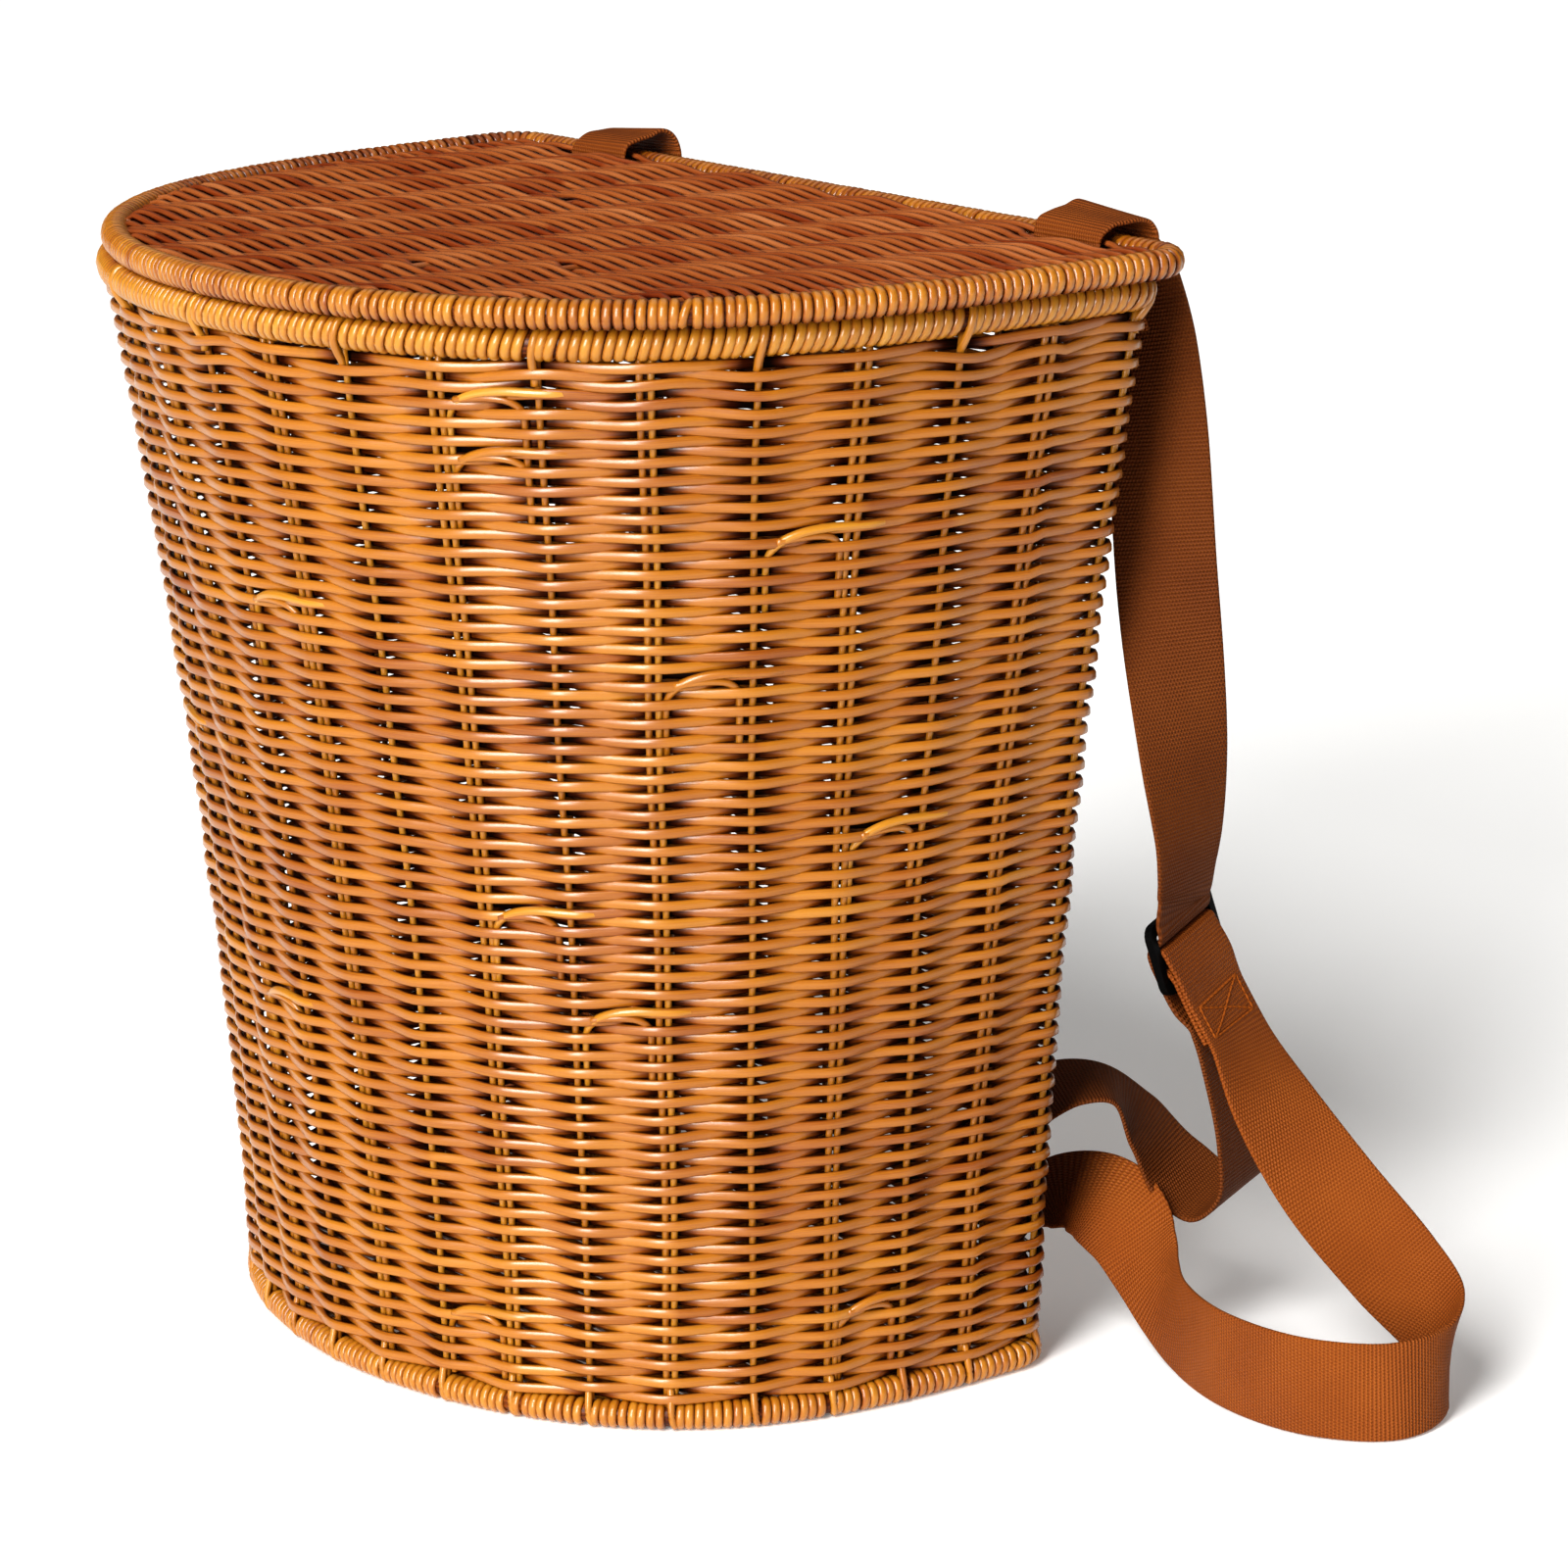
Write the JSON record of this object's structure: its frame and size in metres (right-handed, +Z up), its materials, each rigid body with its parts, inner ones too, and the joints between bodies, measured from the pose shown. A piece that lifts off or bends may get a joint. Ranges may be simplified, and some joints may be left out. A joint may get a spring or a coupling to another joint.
{
  "type": "backpack basket",
  "caption": "Half-round woven basket with a hinged lid and a flat back, carried on webbing shoulder straps with sliders.",
  "frame": {"origin": "middle of the base's flat underside", "axes": "+Z up, +Y towards the flat back that lies against the wearer, +X along the back to the right strap loop"},
  "size_m": [0.5079, 0.2933, 0.3712],
  "materials": {
    "wicker": "varnished honey-brown willow",
    "lid_wicker": "varnished reddish-brown willow",
    "webbing": "ribbed brown webbing",
    "slider": "black moulded plastic"
  },
  "bodies": {
    "basket": {"woven_wall": "wicker", "base_panel": "wicker", "foot_rim": "wicker", "top_rim": "wicker", "right_upper_strap": "webbing", "right_lower_strap": "webbing", "right_slider": "slider", "left_upper_strap": "webbing", "left_lower_strap": "webbing", "left_slider": "slider"},
    "lid": {"lid_panel": "lid_wicker", "lid_rim": "wicker"}
  },
  "joints": [
    {"name": "lid_hinge", "type": "hinge", "parent": "basket", "child": "lid", "pos_m": [0, 0.11415, 0.35991], "axis": [-1, 0, 0], "range_deg": [0, 110]}
  ]
}
